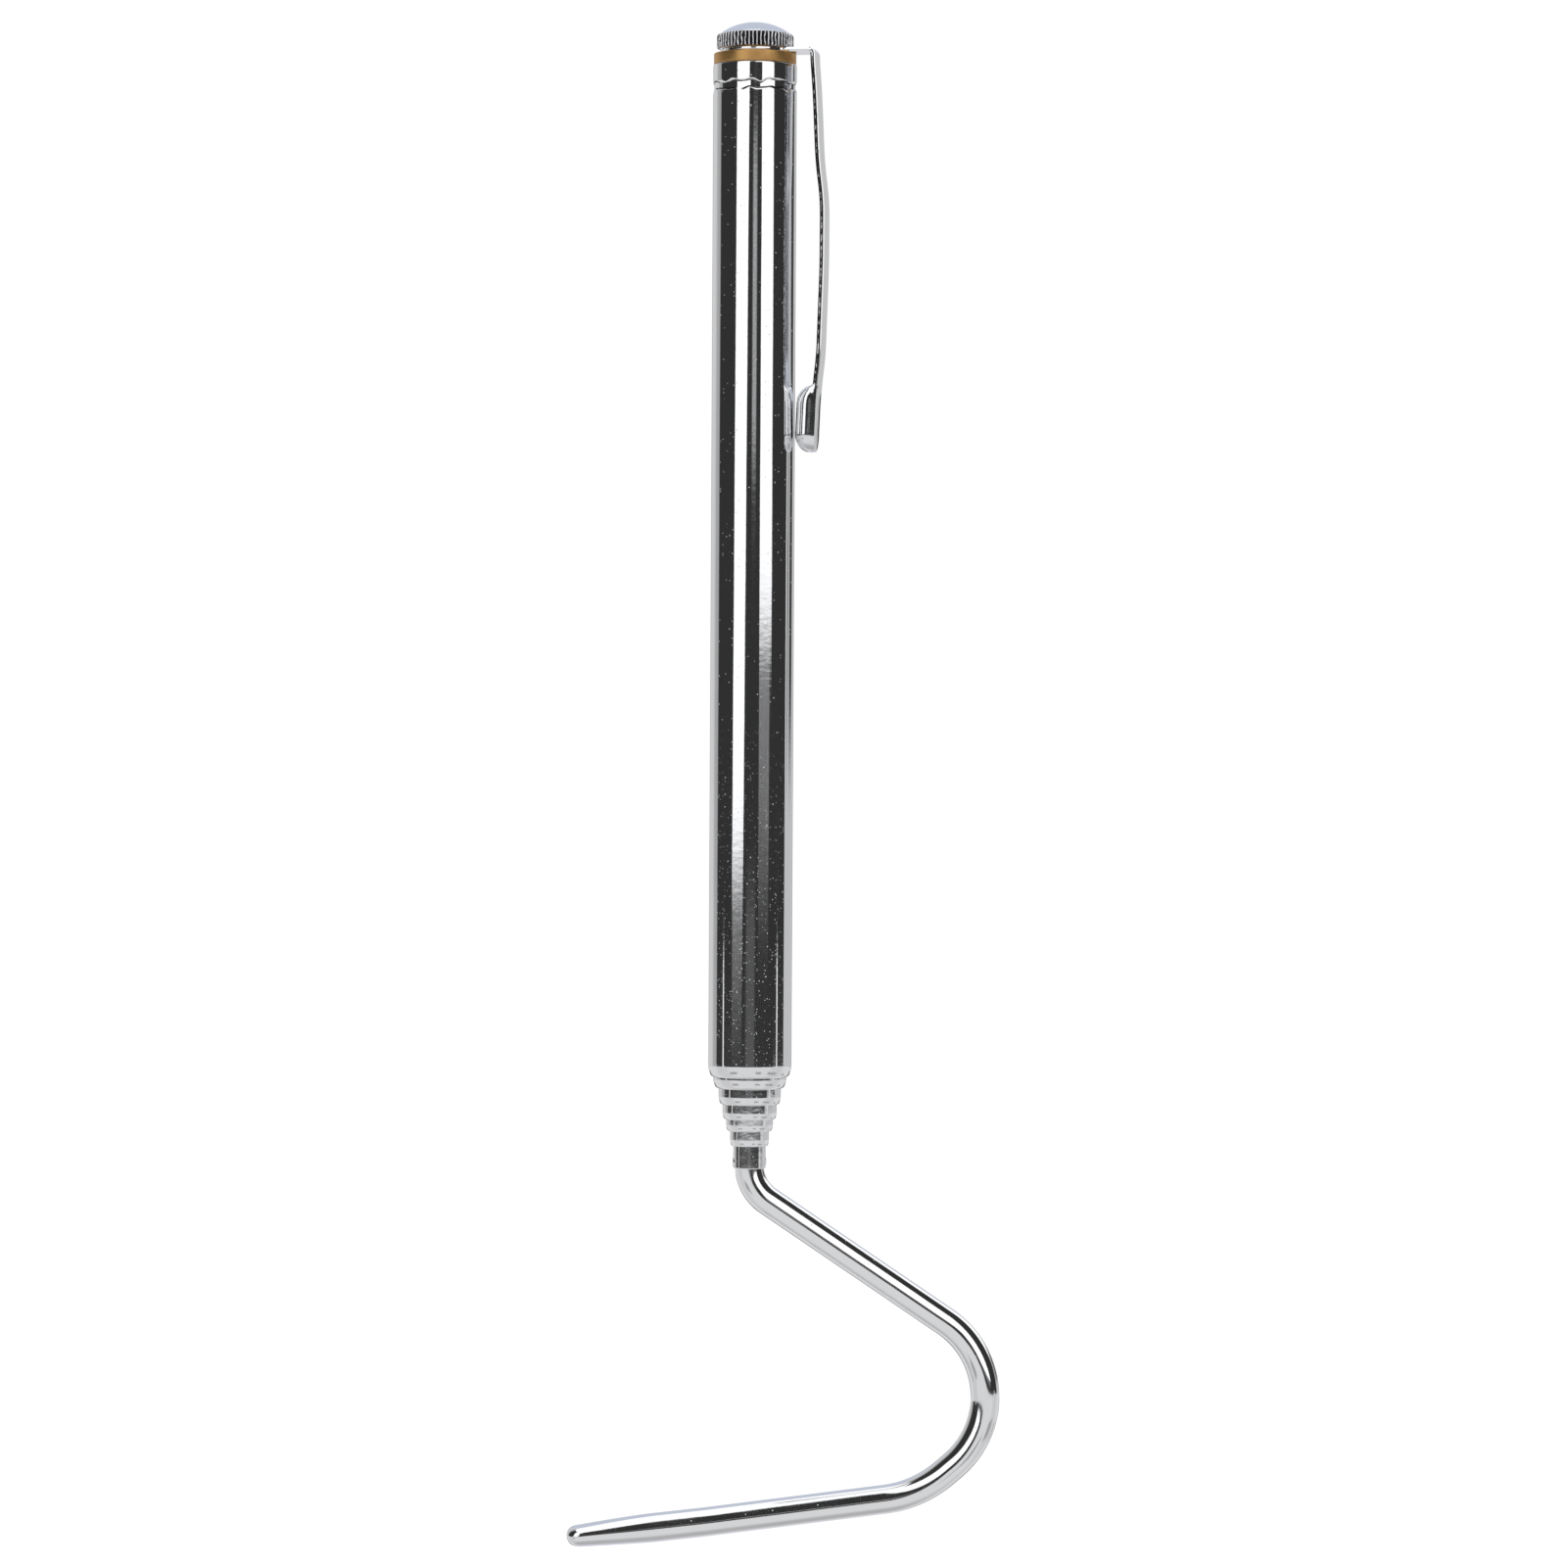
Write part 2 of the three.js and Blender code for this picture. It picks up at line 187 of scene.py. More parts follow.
def rounded(outline, radius, steps=3):
    """Rounds each corner of a closed outline."""
    result = []
    for i, corner in enumerate(outline):
        here = Vector(corner)
        before = Vector(outline[i - 1]) - here
        after = Vector(outline[(i + 1) % len(outline)]) - here
        cut = min(radius, 0.45 * before.length, 0.45 * after.length)
        start = here + before.normalized() * cut
        end = here + after.normalized() * cut
        for step in range(steps + 1):
            t = step / steps
            result.append(tuple(start * (1 - t) ** 2 + here * (2 * t * (1 - t)) + end * t**2))
    return result


def clamp(x, least=0, most=1):
    return min(max(x, least), most)


def smoothstep(edge0, edge1, x):
    t = clamp((x - edge0) / (edge1 - edge0))
    return t * t * (3 - 2 * t)


def lerp(a, b, t):
    return a + (b - a) * t


# ---- Shader helpers ----


class Graph:
    """Short calls to add nodes to a node tree. A value is a number, a colour or a socket."""

    def __init__(self, tree):
        self.tree = tree
        tree.nodes.clear()

    def add(self, kind, inputs=None, **settings):
        """A node, with its inputs by name or number and its settings by name."""
        node = self.tree.nodes.new(kind)
        for name, value in settings.items():
            setattr(node, name, value)
        for key, value in (inputs or {}).items():
            if isinstance(value, bpy.types.NodeSocket):
                self.tree.links.new(value, node.inputs[key])
            else:
                node.inputs[key].default_value = value
        return node

    def attribute(self, name, output="Fac"):
        """What a mesh stores at each of its points under a name."""
        keys = {"attribute_type": "GEOMETRY", "attribute_name": name}
        return self.add("ShaderNodeAttribute", **keys).outputs[output]

    def math(self, operation, *values):
        node = self.add("ShaderNodeMath", dict(enumerate(values)), operation=operation)
        return node.outputs[0]

    def ramp(self, value, start, end, result=(0, 1)):
        """Goes smoothly from result[0] at start to result[1] at end."""
        keys = {"Value": value, "From Min": start, "From Max": end}
        keys |= {"To Min": result[0], "To Max": result[1]}
        node = self.add("ShaderNodeMapRange", keys, interpolation_type="SMOOTHSTEP")
        return node.outputs[0]

    def band(self, value, start, end, soft):
        """1 between start and end, 0 outside."""
        rise = self.ramp(value, start - soft / 2, start + soft / 2)
        fall = self.ramp(value, end + soft / 2, end - soft / 2)
        return self.math("MULTIPLY", rise, fall)

    def mix(self, a, b, factor):
        """The colour a at factor 0 and b at factor 1."""
        node = self.add("ShaderNodeMix", {"Factor": factor, 6: a, 7: b}, data_type="RGBA")
        return node.outputs[2]

    def noise(self, vector, scale, detail=2.0, roughness=0.5):
        """scale is the number of features to a metre along each axis."""
        stretched = self.add("ShaderNodeMapping", {"Vector": vector, "Scale": scale})
        keys = {"Vector": stretched.outputs[0], "Scale": 1.0}
        keys |= {"Detail": detail, "Roughness": roughness}
        return self.add("ShaderNodeTexNoise", keys).outputs[0]

    def bump(self, height, distance, normal=None):
        keys = {"Height": height, "Distance": distance}
        if normal:
            keys["Normal"] = normal
        return self.add("ShaderNodeBump", keys).outputs[0]


def grey(value):
    return (value, value, value, 1)


# ---- World: what the polished metal reflects, and a white surround for the camera ----

ABOVE = 99  # degrees: a gap in the wall that runs on upwards
WHITE = grey(1.25)
LAVENDER = (0.60, 0.645, 0.75, 1)


def wall_light(g, direction, azimuth, elevation):
    """The wall of the tent: dark boards in front with white gaps between them, and grey cloth at
    the sides and behind."""
    side = g.math("ABSOLUTE", azimuth)
    near_level = g.math("MAXIMUM", g.math("MINIMUM", elevation, 8.0), -8.0)
    above_level = g.math("MAXIMUM", elevation, 0.0)
    left_lean = (0.4, 0.7, near_level)
    right_lean = (0, -0.15, above_level)
    back_lean = (0.2, 0, above_level)

    def gap(wall, start, end, levels, light, lean=(0.0, 0.0, near_level), soft=1.0):
        """Puts a light into the wall from azimuth start to end. levels are its lowest and highest
        elevation and how wide they fade. Its two sides lean with a level, and fade over soft."""
        first, second, level = lean
        left = g.math("SUBTRACT", azimuth, g.math("MULTIPLY", level, first))
        right = g.math("SUBTRACT", azimuth, g.math("MULTIPLY", level, second))
        inside = g.ramp(left, start - soft / 2, start + soft / 2)
        inside = g.math("MULTIPLY", inside, g.ramp(right, end + soft / 2, end - soft / 2))
        inside = g.math("MULTIPLY", inside, g.band(elevation, *levels))
        return g.mix(wall, light, inside)

    # The two white gaps in front, with a dim stretch below each, the right one wider high up, and
    # a faint gap between them
    wall = grey(0.035)
    grains = g.ramp(g.noise(direction, (60, 60, 1500), 2.0, 0.7), 0.42, 0.6)
    dim = g.mix(grey(0.05), grey(0.5), g.math("MULTIPLY", grains, 0.8))
    faint = g.mix(grey(0.08), grey(0.75), grains)
    wall = gap(wall, -50.0, -20.0, (-4.8, ABOVE, 2.4), dim, left_lean)
    wall = gap(wall, 21.0, 50.0, (-3.2, ABOVE, 3.4), dim, right_lean)
    wall = gap(wall, -52.0, -19.2, (-3.3, ABOVE, 1.5), WHITE, left_lean)
    wall = gap(wall, 20.3, 55.5, (-0.35, ABOVE, 1.3), WHITE, right_lean)
    wall = gap(wall, 2.0, 55.5, (8.8, ABOVE, 0.8), WHITE, right_lean)
    wall = gap(wall, -3.0, 8.0, (1.8, 5.9, 1.2), faint, soft=5.0)

    # Cloth from the sides to the back, with a white patch and two dark seams on the right
    wall = gap(wall, 107.0, 190.0, (-20, ABOVE, 1.0), grey(0.6), back_lean)
    wall = gap(wall, 107.0, 150.0, (14, ABOVE, 6.0), grey(1.2), back_lean, 4.0)
    wall = gap(wall, -190.0, -107.0, (-20, ABOVE, 1.0), grey(0.42), soft=5.0)
    wall = gap(wall, -190.0, -126.0, (-20, ABOVE, 1.0), grey(0.68), soft=16.0)
    wall = gap(wall, 68.0, 108.0, (-20, -5.85, 0.3), grey(0.6), soft=8.0)
    wall = gap(wall, 114.0, 119.0, (-1.5, 11, 2.0), grey(0.12))
    wall = gap(wall, 125.0, 143.0, (-1.5, 11, 2.0), grey(0.06))
    behind = g.math("MULTIPLY", g.ramp(side, 145.0, 155.0), g.ramp(elevation, 9.0, 13.0))
    wall = g.mix(wall, LAVENDER, behind)
    low_back = g.math("MULTIPLY", g.band(side, 165.5, 173.5, 1.5), g.band(elevation, -20, 9, 2.0))
    wall = g.mix(wall, grey(0.08), low_back)

    # Lowest part of the wall: a dark grey strip in front and a thin white slit at each side
    strip = g.math("MULTIPLY", g.band(azimuth, -12.0, 12.0, 8.0), g.ramp(elevation, -3.4, -3.9))
    wall = g.mix(wall, grey(0.1), strip)
    slits = g.math("MULTIPLY", g.band(side, 78.5, 81.5, 0.6), g.ramp(elevation, -4.1, -4.4))
    return g.mix(wall, grey(1.2), slits)


def ground_light(g, azimuth, elevation):
    """The pale ground, darker straight below and in a patch behind. Four grey strips lie in it."""
    side = g.math("ABSOLUTE", azimuth)
    ground = g.mix(grey(0.78), grey(0.68), g.band(side, 62.0, 106.0, 20.0))
    ground = g.mix(ground, (0.72, 0.71, 0.80, 1), g.ramp(side, 173.0, 175.0))
    shaded = g.math("MULTIPLY", g.band(side, 150.0, 173.0, 3.0), g.band(elevation, -36, -9, 3.0))
    ground = g.mix(ground, grey(0.22), shaded)
    ground = g.mix(ground, grey(0.5), g.ramp(elevation, -50.0, -80.0))
    strips = 0
    for start, end in [(-60.0, -38.0), (18.0, 34.0), (54.0, 84.0), (112.0, 124.0)]:
        strips = g.math("ADD", strips, g.band(azimuth, start, end, 10.0))
    strips = g.math("MULTIPLY", strips, g.band(elevation, -30.0, -20.0, 3.0))
    return g.mix(ground, grey(0.4), strips)


def make_world():
    """A light tent round the object, by direction: azimuth from -Y towards +X and elevation, in
    degrees. Only reflections see it. The camera sees plain white, and soft light comes evenly
    from all round."""
    world = bpy.data.worlds.new("studio")
    bpy.context.scene.world = world
    world.use_nodes = True
    world.cycles.sampling_method = "NONE"
    g = Graph(world.node_tree)
    direction = g.add("ShaderNodeTexCoord").outputs["Generated"]
    parts = g.add("ShaderNodeSeparateXYZ", {"Vector": direction}).outputs
    away = g.math("MULTIPLY", parts["Y"], -1.0)
    azimuth = g.math("DEGREES", g.math("ARCTAN2", parts["X"], away))
    elevation = g.math("DEGREES", g.math("ARCSINE", parts["Z"]))

    wall = wall_light(g, direction, azimuth, elevation)
    ground = ground_light(g, azimuth, elevation)
    top = g.mix(grey(1.2), (0.80, 0.81, 0.9, 1), g.band(azimuth, 62.0, 150.0, 10.0))
    sky = g.mix(wall, top, g.ramp(elevation, 63.0, 65.0))
    mirrored = g.mix(ground, sky, g.ramp(elevation, -6.9, -6.3))

    path = g.add("ShaderNodeLightPath").outputs
    seen = g.add("ShaderNodeBackground", {"Color": grey(1), "Strength": 1.0}).outputs[0]
    soft = g.add("ShaderNodeBackground", {"Color": grey(1), "Strength": 1.15}).outputs[0]
    tent = g.add("ShaderNodeBackground", {"Color": mirrored, "Strength": 1.0}).outputs[0]
    lit = g.add("ShaderNodeMixShader", {0: path["Is Glossy Ray"], 1: soft, 2: tent}).outputs[0]
    final = g.add("ShaderNodeMixShader", {0: path["Is Camera Ray"], 1: lit, 2: seen})
    g.add("ShaderNodeOutputWorld", {"Surface": final.outputs[0]})


FLOOR_RADIUS = 6
FLOOR_GAP = 10 * MM  # below the hook, with all the stages drawn
CAMERA_PLACE = (3.84 * MM, -590 * MM, -9.0 * MM)
CAMERA_LENS = 112.6
CAMERA_TURN = (math.radians(90 - 1.6), math.radians(-0.316), 0)


def make_floor():
    """A wide pale disc, below the hook when all the stages are drawn."""
    height = low("hook_rod").z - STAGES * STAGE_DRAW - FLOOR_GAP
    sides = 64
    angles = [TAU * i / sides for i in range(sides)]
    ring = [(FLOOR_RADIUS * math.cos(a), FLOOR_RADIUS * math.sin(a), height) for a in angles]
    floor = build("floor", ring, [tuple(range(sides))])
    floor.visible_glossy = False
    floor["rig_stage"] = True
    material, g = new_material("pale_floor")
    place = g.add("ShaderNodeTexCoord").outputs["Object"]
    tone = g.mix(grey(0.9), grey(0.93), g.noise(place, (0.7, 0.7, 0.7)))
    keys = {"Base Color": tone, "Roughness": 1.0, "Specular IOR Level": 0.0}
    surface = g.add("ShaderNodeBsdfPrincipled", keys)
    g.add("ShaderNodeOutputMaterial", {"Surface": surface.outputs[0]})
    floor.data.materials.append(material)


def make_camera():
    """In front of the tool, level with a point just below the handle's middle, and looking down
    a little."""
    data = bpy.data.cameras.new("camera")
    data.sensor_width = 36
    data.lens = CAMERA_LENS
    data.clip_start, data.clip_end = 0.01, 50
    camera = bpy.data.objects.new("camera", data)
    bpy.context.scene.collection.objects.link(camera)
    camera.location = CAMERA_PLACE
    camera.rotation_mode = "XYZ"
    camera.rotation_euler = CAMERA_TURN
    bpy.context.scene.camera = camera
    bpy.context.scene.view_settings.view_transform = "Standard"


# ---- Materials ----


def new_material(name):
    material = bpy.data.materials.new(name)
    material.use_nodes = True
    return material, Graph(material.node_tree)


def finish_metal(g, colour, roughness, normal):
    keys = {"Base Color": colour, "Metallic": 1.0, "Roughness": roughness, "Normal": normal}
    surface = g.add("ShaderNodeBsdfPrincipled", keys)
    g.add("ShaderNodeOutputMaterial", {"Surface": surface.outputs[0]})


def specks(g, place, density, size, share):
    """Scattered pits of uneven size: 1 in a pit, 0 elsewhere. density is cells to a metre and
    share is the part of the cells that has one."""
    keys = {"Vector": place, "Scale": density, "Randomness": 1.0}
    cells = g.add("ShaderNodeTexVoronoi", keys, feature="F1")
    tints = g.add("ShaderNodeSeparateColor", {"Color": cells.outputs["Color"]}).outputs
    chosen = g.math("GREATER_THAN", tints[0], 1.0 - share)
    reach = g.ramp(tints[1], 0.0, 1.0, (0.4 * size, size))
    inside = g.math("LESS_THAN", cells.outputs["Distance"], reach)
    return g.math("MULTIPLY", inside, chosen)


def chrome_tube():
    """Plated drawn tube: faint ripples round the tube, fine lines along it, small pits that are
    dense low down, and near-black painted shade in the crimp's corners."""
    material, g = new_material("chrome_tube")
    place = g.add("ShaderNodeTexCoord").outputs["Object"]
    ripples = g.noise(place, (900, 900, 1400), 2.0, 0.5)
    lines = g.noise(place, (9000, 9000, 60), 2.0, 0.6)
    height = g.add("ShaderNodeSeparateXYZ", {"Vector": place}).outputs["Z"]
    worn = g.ramp(height, -0.015, -0.05)
    dense = g.math("MULTIPLY", specks(g, place, 3300, 0.24, 0.42), worn)
    pits = g.math("MAXIMUM", specks(g, place, 2600, 0.24, 0.14), dense)
    wear = g.noise(place, (120, 120, 60), 3.0, 0.6)
    normal = g.bump(ripples, 0.0000022)
    normal = g.bump(lines, 0.0000007, normal)
    normal = g.bump(pits, -0.00002, normal)
    painted_dark_and_grease = g.attribute("painted_dark_and_grease")
    colour = g.mix((0.80, 0.81, 0.83, 1), (0.86, 0.86, 0.87, 1), wear)
    # Painted shade: near black where the crimp's corners are marked
    colour = g.mix(colour, (0.04, 0.037, 0.036, 1), g.ramp(painted_dark_and_grease, 0.2, 0.75))
    dulled = g.math("ADD", g.math("MULTIPLY", pits, 0.3), g.math("MULTIPLY", painted_dark_and_grease, 0.25))
    roughness = g.math("ADD", g.ramp(wear, 0.35, 0.75, (0.04, 0.07)), dulled)
    finish_metal(g, colour, roughness, normal)
    return material


def chrome_bright():
    """Plating on the turned and knurled cap, with grease and painted shade left dark down in the
    knurl.
    """
    material, g = new_material("chrome_bright")
    place = g.add("ShaderNodeTexCoord").outputs["Object"]
    painted_dark_and_grease = g.attribute("painted_dark_and_grease")
    haze = g.noise(place, (900, 900, 900), 3.0, 0.6)
    grain = g.noise(place, (4000, 4000, 4000), 2.0, 0.6)
    normal = g.bump(grain, 0.000003)
    colour = g.mix((0.78, 0.79, 0.82, 1), (0.86, 0.86, 0.88, 1), haze)
    # Painted shade and grease: near black down in the knurl's grooves
    knurl_shade_and_grease = g.ramp(g.math("ADD", painted_dark_and_grease, g.math("MULTIPLY", grain, 0.35)), 0.42, 0.72)
    colour = g.mix(colour, (0.035, 0.03, 0.032, 1), knurl_shade_and_grease)
    roughness = g.math("ADD", g.ramp(haze, 0.3, 0.7, (0.12, 0.18)), g.math("MULTIPLY", painted_dark_and_grease, 0.3))
    finish_metal(g, colour, roughness, normal)
    return material


def clip_steel():
    """Plated spring steel: polished flat, with faint rolling lines down the sheet, and flecked
    painted dark lines on its sheared edge that stand in for dark reflections."""
    material, g = new_material("clip_steel")
    place = g.add("ShaderNodeTexCoord").outputs["Object"]
    lines = g.noise(place, (4000, 4000, 80), 2.0, 0.6)
    spots = g.noise(place, (700, 700, 500), 3.0, 0.6)
    normal = g.bump(lines, 0.000002)
    normal = g.bump(spots, 0.000012, normal)
    painted_dark_and_grease = g.attribute("painted_dark_and_grease")
    flecks = g.noise(place, (5000, 5000, 1600), 2.0, 0.6)
    # Painted dark reflection lines on the sheared edge, broken by flecks
    painted_edge_lines = g.math("ADD", painted_dark_and_grease, g.ramp(flecks, 0.35, 0.65, (-0.4, 0.15)))
    colour = g.mix((0.78, 0.79, 0.81, 1), (0.85, 0.85, 0.86, 1), spots)
    colour = g.mix(colour, (0.03, 0.03, 0.031, 1), g.ramp(painted_edge_lines, 0.15, 0.6))
    finish_metal(g, colour, g.ramp(spots, 0.3, 0.7, (0.06, 0.12)), normal)
    return material


def rod_steel():
    """Polished and plated rod. The grain follows the rod through its bends."""
    material, g = new_material("rod_steel")
    place = g.attribute("unbent", "Vector")
    lines = g.noise(place, (6000, 6000, 60), 2.0, 0.6)
    waves = g.noise(place, (500, 500, 260), 2.0, 0.5)
    pits = specks(g, place, 1500, 0.16, 0.2)
    normal = g.bump(lines, 0.0000012)
    normal = g.bump(waves, 0.00001, normal)
    normal = g.bump(pits, -0.00001, normal)
    colour = g.mix((0.80, 0.81, 0.83, 1), (0.86, 0.86, 0.87, 1), waves)
    roughness = g.math("ADD", g.ramp(waves, 0.3, 0.7, (0.05, 0.09)), g.math("MULTIPLY", pits, 0.4))
    finish_metal(g, colour, roughness, normal)
    return material


def turned_metal(name, light, dark, roughness):
    """Brass or bronze off the lathe: fine turning rings, and tarnish in patches."""
    material, g = new_material(name)
    place = g.add("ShaderNodeTexCoord").outputs["Object"]
    rings = g.noise(place, (90, 90, 9000), 2.0, 0.6)
    tarnish = g.noise(place, (260, 260, 260), 3.0, 0.55)
    normal = g.bump(rings, 0.0000025)
    colour = g.mix(dark, light, g.ramp(tarnish, 0.26, 0.6, (0.35, 1.0)))
    colour = g.mix(colour, light, g.ramp(rings, 0.5, 0.8, (0, 0.25)))
    finish_metal(g, colour, g.ramp(tarnish, 0.3, 0.7, (roughness + 0.1, roughness - 0.06)), normal)
    return material


MATERIALS = {
    "chrome_tube": chrome_tube(),
    "chrome_bright": chrome_bright(),
    "clip_steel": clip_steel(),
    "rod_steel": rod_steel(),
    "plug_brass": turned_metal("plug_brass", (0.66, 0.39, 0.145, 1), (0.40, 0.20, 0.085, 1), 0.42),
    "bush_brass": turned_metal("bush_brass", (0.80, 0.60, 0.30, 1), (0.55, 0.38, 0.16, 1), 0.3),
    "spring_bronze": turned_metal(
        "spring_bronze", (0.72, 0.42, 0.22, 1), (0.45, 0.24, 0.12, 1), 0.36),
}
NODE_SLOT = {part["node"]: part["material_slot"] for part in frame["record"]["subparts"]}
NODE_BODY = {
    node: body
    for body, nodes in frame["record"]["behaviour"]["bodies"].items()
    for node in nodes
}


def stand_for(obj, node):
    """obj takes a CAD node's place: its body, its finish and its material."""
    obj.data.materials.append(MATERIALS[NODE_SLOT[node]])
    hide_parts(node)
    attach(obj, NODE_BODY[node])


# ---- Handle tube and draw tubes ----


def tube_outline(node, top_rows):
    """Outline of a tube with a rolled-in mouth. top_rows are heights of extra rows, inside and
    out, near the tube's upper end."""
    wall, edge, lip, roll = (size * MM for size in TUBE_FORMS[node])
    radius, mouth, top = high(node).x, low(node).z, high(node).z
    bore = radius - wall
    round_edge = 0.03 * MM
    outside = quarter(edge, mouth, radius, mouth + roll, 14)
    inside = [
        (bore, mouth + roll + 0.1 * MM),
        (lerp(bore, lip, 0.6), mouth + 0.62 * roll),
        (lip, mouth + 0.35 * roll),
        (lip, mouth + round_edge),
        (lip + round_edge, mouth),
    ]
    rim = quarter(bore + 2 * round_edge, top, radius, top - 0.14 * MM, 6)[::-1]
    rim += [(bore + round_edge, top), (bore, top - round_edge)]
    return (
        outside
        + [(radius, z) for z in top_rows]
        + rim
        + [(bore, z) for z in reversed(top_rows)]
        + inside
    )


def wavy(dice, waves, size):
    """A smooth random function of an angle round the axis, which strays by about size."""
    parts = [(k, dice.uniform(0, TAU), dice.uniform(0.6, 1)) for k in waves]
    total = math.sqrt(sum(weight**2 for _, _, weight in parts))
    return lambda angle: size / total * sum(w * math.sin(k * angle + at) for k, at, w in parts)


CRIMP_LEVEL = HANDLE_TOP - 2.75 * MM
CRIMP_HALF = 0.36 * MM  # half of its height
CRIMP_DEPTH = 0.14 * MM
CRIMP_SLOPE = 0.26 * MM
CORNER_SHADE = 0.05 * MM  # from the crimp's corners to the middle of the painted shade that lies in them


def make_handle_tube():
    """The crimp is a rolled-in band, uneven in level, height and depth all round. Painted shade
    lies in parts of its two corners."""
    dice = random.Random(31)
    level_stray = wavy(dice, (4, 7, 11, 15), 0.13 * MM)
    half_stray = wavy(dice, (6, 13, 21), 0.07 * MM)
    depth_stray = wavy(dice, (5, 9, 13), 0.02 * MM)
    lower_shade = wavy(dice, (5, 8, 14, 19), 0.45)
    upper_shade = wavy(dice, (6, 9, 15, 21), 0.45)
    painted_dark_and_grease = []
    steps, step = 28, 0.036 * MM
    rows = [CRIMP_LEVEL + i * step for i in range(-steps, steps + 1)]
    rows += [HANDLE_TOP - gap * MM for gap in (1.2, 0.6, 0.32, 0.2)]

    def crimped(_, angle, radius, height):
        level = CRIMP_LEVEL + level_stray(angle)
        half = CRIMP_HALF + half_stray(angle)
        depth = clamp(CRIMP_DEPTH + depth_stray(angle), 0.07 * MM, 0.2 * MM)
        # Painted shade, near black, along parts of the crimp's two corners
        from_lower = abs(height - level + half + CORNER_SHADE) / MM
        from_upper = abs(height - level - half - CORNER_SHADE) / MM
        lower = smoothstep(0.15, 0.05, from_lower) * clamp(0.95 + lower_shade(angle))
        upper = smoothstep(0.13, 0.04, from_upper) * clamp(0.6 + upper_shade(angle))
        painted_dark_and_grease.append(max(lower, upper))
        return radius - depth * smoothstep(CRIMP_SLOPE, 0, abs(height - level) - half), height

    outline = tube_outline("handle_tube", rows)
    tube = revolve("handle_tube_plated", outline, 480, crimped)
    note_painted_dark(tube, painted_dark_and_grease)
    stand_for(tube, "handle_tube")


def note_painted_dark(obj, amounts):
    """Stores the painted shade each turned point holds, and grease in the knurl. Points on the axis
    hold none.
    """
    layer = obj.data.attributes.new("painted_dark_and_grease", "FLOAT", "POINT")
    ordered = iter(amounts)
    for vertex in obj.data.vertices:
        on_axis = math.hypot(vertex.co.x, vertex.co.y) < 1e-7
        layer.data[vertex.index].value = 0 if on_axis else next(ordered)


def make_stage_tube(k):
    """A draw tube. The last one is the ferrule, which holds the rod."""
    node = f"stage_{k}_tube"
    if k < STAGES:
        stand_for(revolve(f"{node}_plated", tube_outline(node, []), 192), node)
    else:
        stand_for(nipped_tube(node), node)


def nipped_tube(node):
    """A tube nipped on the rod by two punch marks that raise a small burr."""
    mouth, radius = low(node).z, high(node).x
    nips = [(math.radians(184), 0.75 * MM), (math.radians(20), 0.8 * MM)]
    rows = [mouth + 0.12 * MM + i * 0.07 * MM for i in range(30)]
    outline = tube_outline(node, rows)

    def nipped(_, angle, r, height):
        moved = 0
        for centre, above in nips:
            turn = (angle - centre + math.pi) % TAU - math.pi
            reach = math.hypot(turn * radius, (height - mouth - above) * 1.3) / MM
            moved += 0.1 * MM * smoothstep(0.75, 0.5, reach) * smoothstep(0.3, 0.5, reach)
            moved -= 0.12 * MM * smoothstep(0.42, 0.15, reach)
        return r + moved, height

    return revolve(f"{node}_plated", outline, 160, nipped)


def make_stop_bush(k):
    """Sleeve with an inward lip over the draw tube's rear end, and two oil grooves."""
    node = f"stage_{k}_stop_bush"
    outer, bottom, top = high(node).x, low(node).z, high(node).z
    tube = f"stage_{k}_tube"
    wall = TUBE_FORMS[tube][0] * MM
    sleeve = high(tube).x + 0.02 * MM
    lip = high(tube).x - wall - 0.2 * MM
    ledge = top - 0.4 * MM
    groove = 0.06 * MM
    outside = [(outer, bottom)]
    for level in (0.35, 0.65):
        height = lerp(bottom, top, level)
        outside += [(outer, height - 2 * groove), (outer - groove, height - groove)]
        outside += [(outer - groove, height + groove), (outer, height + 2 * groove)]
    outline = [(sleeve, bottom), *outside, (outer, top), (lip, top), (lip, ledge), (sleeve, ledge)]
    stand_for(revolve(f"{node}_turned", rounded(outline, 0.05 * MM), 96), node)


def make_friction_spring(k):
    """Split sleeve of strip, with its ends eased and three bowed lands that press on the bore."""
    node = f"friction_spring_{k}"
    outer, bottom, top = high(node).y, low(node).z, high(node).z
    inner = high(f"stage_{k}_tube").x + 0.05 * MM
    thick, middle = outer - inner, (inner + outer) / 2
    half_slit = math.radians(20)
    sides, levels = 120, 24
    section = rounded([(inner, bottom), (outer, bottom), (outer, top), (inner, top)], 0.06 * MM)
    outside = [p for p in section if p[0] > middle]
    inside = [p for p in section if p[0] <= middle]
    half, split = len(outside) // 2, len(inside) // 2
    lands = [lerp(bottom, top, 0.04 + 0.92 * (i / levels)) for i in range(1, levels)]
    rows = outside[:half] + [(outer, z) for z in lands] + outside[half:]
    rows += inside[:split] + [(inner, z) for z in reversed(lands)] + inside[split:]

    def bowed(radius, height):
        if radius <= middle:
            return radius
        t = (height - bottom) / (top - bottom)
        bow = (0.5 - 0.5 * math.cos(3 * TAU * t)) * smoothstep(0, 0.08, t * (1 - t))
        return radius - 0.35 * thick * (1 - bow)

    points, faces = [], []
    for i in range(sides + 1):
        angle = lerp(half_slit, TAU - half_slit, i / sides)
        for radius, height in rows:
            r = bowed(radius, height)
            points.append((r * math.cos(angle), r * math.sin(angle), height))
    count = len(rows)
    for i in range(sides):
        faces += ring_faces(i * count, (i + 1) * count, count)
    faces.append(tuple(reversed(range(count))))
    faces.append(tuple(range(sides * count, (sides + 1) * count)))
    stand_for(build(f"{node}_formed", points, faces), node)


# ---- End plug, cap and stud ----

FLANGE_BOTTOM = HANDLE_TOP + 0.02 * MM
FLANGE_TOP = high("end_plug").z
CAP_BOTTOM = low("knurled_cap").z
CAP_RADIUS = high("knurled_cap").x
CAP_APEX = high("knurled_cap").z


